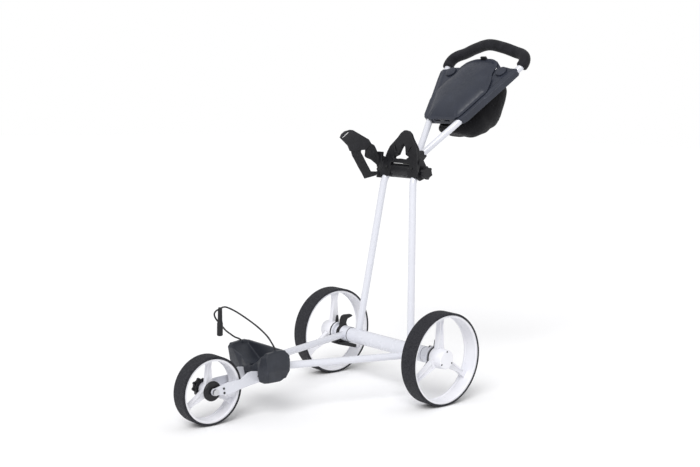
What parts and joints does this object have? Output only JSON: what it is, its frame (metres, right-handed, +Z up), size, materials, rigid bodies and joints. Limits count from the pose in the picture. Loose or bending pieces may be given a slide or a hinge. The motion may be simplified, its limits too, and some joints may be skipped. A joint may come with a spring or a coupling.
{
  "type": "golf push trolley",
  "caption": "Folding three-wheel push trolley for a golf bag, with a looped foam grip, lidded console, net pouch, two bag brackets and a foot brake.",
  "frame": {"origin": "on the ground, in the middle of the width and length", "axes": "+Y points rearwards to the grip, +X to the left wheel as the person walking behind it sees it, +Z up"},
  "size_m": [0.574, 1.2675, 1.1452],
  "materials": {
    "painted_tube": "gloss white",
    "white_plastic": "gloss white",
    "wheel_white": "satin white",
    "foam_tyre": "matte, finely textured",
    "steel": "brushed",
    "black_steel": "matte black",
    "black_plastic": "fine grain",
    "slate_plastic": "fine grain",
    "black_rubber": "matte",
    "foam_grip": "soft foam",
    "webbing": "woven",
    "net_fabric": "mesh",
    "cord_fabric": "braided"
  },
  "bodies": {
    "frame": {"main_crossbar": "painted_tube", "crossbar_plugs": "black_plastic", "axle_tube": "steel", "friction_washers": "black_rubber", "left_axle_socket": "white_plastic", "right_axle_socket": "white_plastic", "rear_axles": "steel", "left_upright": "painted_tube", "right_upright": "painted_tube", "joint_housing": "black_plastic", "upper_bag_bracket": "black_plastic", "bracket_screws": "steel", "pivot_bolt": "steel"},
    "handle": {"handle_yoke": "black_plastic", "handle_tube": "painted_tube", "handle_grip": "foam_grip", "console_tray": "slate_plastic", "console_screws": "steel", "lid_hinge_pin": "steel", "net_pouch": "net_fabric"},
    "front_arm": {"left_hinge_collar": "painted_tube", "right_hinge_collar": "painted_tube", "left_lower_tube": "painted_tube", "right_lower_tube": "painted_tube", "hinge_bushes": "black_plastic", "lower_bag_bracket": "black_plastic", "left_fork_plate": "painted_tube", "right_fork_plate": "painted_tube", "fork_screws": "black_steel", "front_axle": "steel", "bungee_cord": "cord_fabric", "bungee_toggle": "black_plastic"},
    "left_rear_wheel": {"left_rear_rim": "wheel_white", "left_rear_tyre": "foam_tyre", "left_brake_plate": "black_plastic", "left_rear_bearings": "steel", "left_hub_screws": "black_steel"},
    "right_rear_wheel": {"right_rear_rim": "wheel_white", "right_rear_tyre": "foam_tyre", "right_brake_plate": "black_plastic", "right_rear_bearings": "steel", "right_hub_screws": "black_steel"},
    "front_wheel": {"front_rim": "wheel_white", "front_tyre": "foam_tyre", "front_hub_caps": "black_plastic", "front_bearings": "steel"},
    "console_lid": {"console_lid": "slate_plastic"},
    "lid_latch": {"lid_latch": "black_plastic"},
    "left_accessory_cap": {"left_accessory_cap": "slate_plastic"},
    "right_accessory_cap": {"right_accessory_cap": "slate_plastic"},
    "brake_lever": {"brake_lever": "black_plastic"},
    "brake_shoe": {"brake_shoe": "black_rubber"},
    "left_release_button": {"left_release_button": "black_plastic"},
    "right_release_button": {"right_release_button": "black_plastic"},
    "handle_lock_knob": {"handle_lock_knob": "black_plastic"},
    "tracking_knob": {"tracking_knob": "black_plastic"},
    "bag_strap": {"strap_webbing": "webbing", "strap_pull_plate": "black_rubber"}
  },
  "joints": [
    {"name": "handle_fold", "type": "hinge", "parent": "frame", "child": "handle", "pos_m": [0, 0.217, 0.704], "axis": [1, 0, 0], "range_deg": [-100, 0]},
    {"name": "front_arm_fold", "type": "hinge", "parent": "frame", "child": "front_arm", "pos_m": [0, 0.147, 0.145], "axis": [1, 0, 0], "range_deg": [-72, 0]},
    {"name": "left_rear_wheel_spin", "type": "hinge", "parent": "frame", "child": "left_rear_wheel", "pos_m": [0.259, 0.147, 0.145], "axis": [1, 0, 0], "continuous": true},
    {"name": "right_rear_wheel_spin", "type": "hinge", "parent": "frame", "child": "right_rear_wheel", "pos_m": [-0.259, 0.147, 0.145], "axis": [1, 0, 0], "continuous": true},
    {"name": "front_wheel_spin", "type": "hinge", "parent": "front_arm", "child": "front_wheel", "pos_m": [0, -0.534, 0.1], "axis": [1, 0, 0], "continuous": true},
    {"name": "console_lid_hinge", "type": "hinge", "parent": "handle", "child": "console_lid", "pos_m": [0, 0.38777, 0.87265], "axis": [1, 0, 0], "range_deg": [0, 50]},
    {"name": "lid_latch_slide", "type": "slide", "parent": "console_lid", "child": "lid_latch", "axis": [0, 0.7071, 0.7071], "range_m": [0, 0.003], "stiffness_N_per_m": 400, "springref_m": -0.001},
    {"name": "left_cap_turn", "type": "hinge", "parent": "handle", "child": "left_accessory_cap", "pos_m": [0.114, 0.54262, 1.03174], "axis": [0, -0.7071, 0.7071], "range_deg": [0, 90]},
    {"name": "right_cap_turn", "type": "hinge", "parent": "handle", "child": "right_accessory_cap", "pos_m": [-0.114, 0.54262, 1.03174], "axis": [0, -0.7071, 0.7071], "range_deg": [-90, 0]},
    {"name": "brake_lever_turn", "type": "hinge", "parent": "frame", "child": "brake_lever", "pos_m": [-0.2, 0.147, 0.145], "axis": [1, 0, 0], "range_deg": [0, 18]},
    {"name": "brake_shoe_slide", "type": "slide", "parent": "frame", "child": "brake_shoe", "axis": [-1, 0, 0], "range_m": [0, 0.003]},
    {"name": "left_release_press", "type": "slide", "parent": "frame", "child": "left_release_button", "axis": [0, 0, -1], "range_m": [0, 0.003], "stiffness_N_per_m": 500, "springref_m": -0.001},
    {"name": "right_release_press", "type": "slide", "parent": "frame", "child": "right_release_button", "axis": [0, 0, -1], "range_m": [0, 0.003], "stiffness_N_per_m": 500, "springref_m": -0.001},
    {"name": "handle_lock_turn", "type": "hinge", "parent": "frame", "child": "handle_lock_knob", "pos_m": [0.099, 0.217, 0.704], "axis": [1, 0, 0], "range_deg": [0, 180]},
    {"name": "tracking_knob_turn", "type": "hinge", "parent": "front_arm", "child": "tracking_knob", "pos_m": [-0.04, -0.534, 0.1], "axis": [1, 0, 0], "range_deg": [-90, 90]},
    {"name": "bag_strap_swing", "type": "hinge", "parent": "frame", "child": "bag_strap", "pos_m": [-0.101, 0.197, 0.72], "axis": [0, 0, 1], "range_deg": [-60, 12]}
  ],
  "couplings": [
    {"joint": "brake_shoe_slide", "follows": "brake_lever_turn", "m_per_rad": 0.0095}
  ]
}
